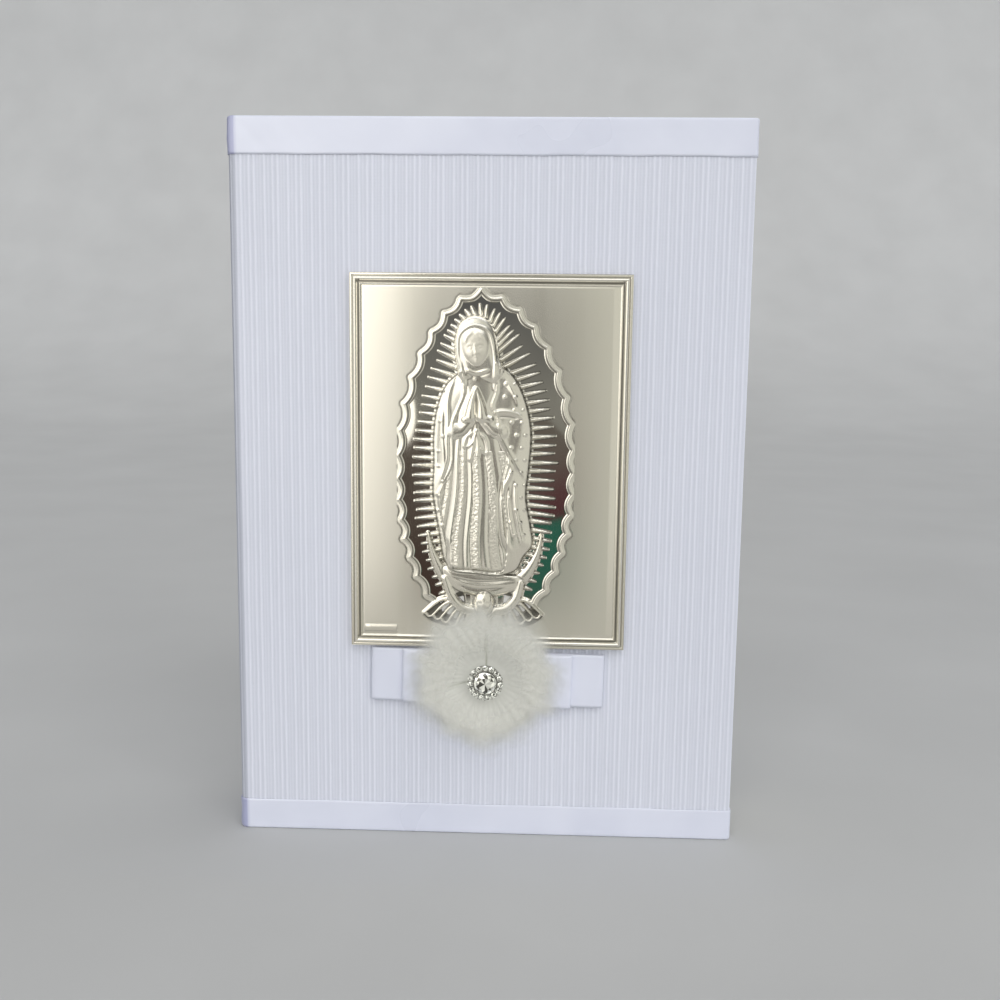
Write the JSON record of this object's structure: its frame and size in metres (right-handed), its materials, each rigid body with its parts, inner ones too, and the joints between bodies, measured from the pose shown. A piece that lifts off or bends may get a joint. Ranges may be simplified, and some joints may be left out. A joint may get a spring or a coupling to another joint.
{
  "type": "prayer book",
  "caption": "Hard-bound prayer book in pale ribbed cloth with satin edges, an embossed silver-look plaque and a bow with a tulle flower and jewelled button.",
  "frame": {"origin": "centre of the standing book's footprint, on the surface it stands on", "axes": "+X from the spine to the fore edge, +Y from the front cover to the back cover, +Z from tail to head"},
  "size_m": [0.149, 0.0458, 0.21],
  "materials": {
    "grey_board": "matt grey board",
    "ribbed_cloth": "ribbed, softly lustrous",
    "satin_ribbon": "satin",
    "endpaper": "matt",
    "page_paper": "matt",
    "mull_cloth": "open weave",
    "headband_weave": "woven silk",
    "adhesive_foam": "closed-cell foam",
    "plaque_filler": "matt",
    "embossed_silver": "silver plate, polished and satin",
    "felt": "felt",
    "tulle": "sheer net",
    "plated_setting": "bright plated",
    "cut_crystal": "faceted"
  },
  "bodies": {
    "back_cover": {"back_board": "grey_board", "back_cloth": "ribbed_cloth", "back_head_ribbon": "satin_ribbon", "back_tail_ribbon": "satin_ribbon", "back_pastedown": "endpaper"},
    "spine": {"spine_board": "grey_board", "spine_cloth": "ribbed_cloth", "spine_head_ribbon": "satin_ribbon", "spine_tail_ribbon": "satin_ribbon"},
    "front_cover": {"front_board": "grey_board", "front_cloth": "ribbed_cloth", "front_head_ribbon": "satin_ribbon", "front_tail_ribbon": "satin_ribbon", "front_pastedown": "endpaper", "plaque_pad": "adhesive_foam", "plaque_core": "plaque_filler", "plaque_sheet": "embossed_silver", "bow_outer_loops": "satin_ribbon", "bow_inner_loops": "satin_ribbon", "bow_wrap": "satin_ribbon", "flower_felt": "felt", "tulle_layer_1": "tulle", "tulle_layer_2": "tulle", "tulle_layer_3": "tulle", "tulle_layer_4": "tulle", "tulle_layer_5": "tulle", "button_setting": "plated_setting", "button_centre_stone": "cut_crystal", "button_small_stones": "cut_crystal"},
    "rear_flyleaf": {"rear_flyleaf": "endpaper"},
    "section_8": {"section_8": "page_paper"},
    "section_7": {"section_7": "page_paper"},
    "section_6": {"section_6": "page_paper"},
    "section_5": {"section_5": "page_paper"},
    "section_4": {"section_4": "page_paper", "mull": "mull_cloth", "head_headband": "headband_weave", "tail_headband": "headband_weave"},
    "section_3": {"section_3": "page_paper"},
    "section_2": {"section_2": "page_paper"},
    "section_1": {"section_1": "page_paper"},
    "front_flyleaf": {"front_flyleaf": "endpaper"}
  },
  "joints": [
    {"name": "spine_swing", "type": "hinge", "parent": "back_cover", "child": "spine", "pos_m": [-0.0747, 0.01971, 0.105], "axis": [0, 0, -1], "range_deg": [0, 90], "deforming": ["mull", "head_headband", "tail_headband"]},
    {"name": "front_cover_open", "type": "hinge", "parent": "spine", "child": "front_cover", "pos_m": [-0.0747, -0.0049, 0.105], "axis": [0, 0, -1], "range_deg": [0, 170]},
    {"name": "rear_flyleaf_turn", "type": "hinge", "parent": "back_cover", "child": "rear_flyleaf", "pos_m": [-0.06965, 0.01863, 0.105], "axis": [0, 0, -1], "range_deg": [0, 12]},
    {"name": "section_8_turn", "type": "hinge", "parent": "rear_flyleaf", "child": "section_8", "pos_m": [-0.06965, 0.0182, 0.105], "axis": [0, 0, -1], "range_deg": [0, 12]},
    {"name": "section_7_turn", "type": "hinge", "parent": "section_8", "child": "section_7", "pos_m": [-0.06965, 0.0155, 0.105], "axis": [0, 0, -1], "range_deg": [0, 12]},
    {"name": "section_6_turn", "type": "hinge", "parent": "section_7", "child": "section_6", "pos_m": [-0.06965, 0.01281, 0.105], "axis": [0, 0, -1], "range_deg": [0, 12]},
    {"name": "section_5_turn", "type": "hinge", "parent": "section_6", "child": "section_5", "pos_m": [-0.06965, 0.0101, 0.105], "axis": [0, 0, -1], "range_deg": [0, 12]},
    {"name": "section_4_turn", "type": "hinge", "parent": "section_5", "child": "section_4", "pos_m": [-0.06965, 0.00741, 0.105], "axis": [0, 0, -1], "range_deg": [0, 12]},
    {"name": "section_3_turn", "type": "hinge", "parent": "section_4", "child": "section_3", "pos_m": [-0.06965, 0.0047, 0.105], "axis": [0, 0, -1], "range_deg": [0, 12]},
    {"name": "section_2_turn", "type": "hinge", "parent": "section_3", "child": "section_2", "pos_m": [-0.06965, 0.002, 0.105], "axis": [0, 0, -1], "range_deg": [0, 12]},
    {"name": "section_1_turn", "type": "hinge", "parent": "section_2", "child": "section_1", "pos_m": [-0.06965, -0.00069, 0.105], "axis": [0, 0, -1], "range_deg": [0, 12]},
    {"name": "front_flyleaf_turn", "type": "hinge", "parent": "section_1", "child": "front_flyleaf", "pos_m": [-0.06965, -0.0034, 0.105], "axis": [0, 0, -1], "range_deg": [0, 90]}
  ],
  "couplings": [
    {"joint": "rear_flyleaf_turn", "follows": "spine_swing", "ratio": 0.10556},
    {"joint": "section_8_turn", "follows": "spine_swing", "ratio": 0.10556},
    {"joint": "section_7_turn", "follows": "spine_swing", "ratio": 0.10556},
    {"joint": "section_6_turn", "follows": "spine_swing", "ratio": 0.10556},
    {"joint": "section_5_turn", "follows": "spine_swing", "ratio": 0.10556},
    {"joint": "section_4_turn", "follows": "spine_swing", "ratio": 0.10556},
    {"joint": "section_3_turn", "follows": "spine_swing", "ratio": 0.10556},
    {"joint": "section_2_turn", "follows": "spine_swing", "ratio": 0.10556},
    {"joint": "section_1_turn", "follows": "spine_swing", "ratio": 0.10556},
    {"joint": "front_flyleaf_turn", "follows": "front_cover_open", "ratio": 0.5}
  ]
}
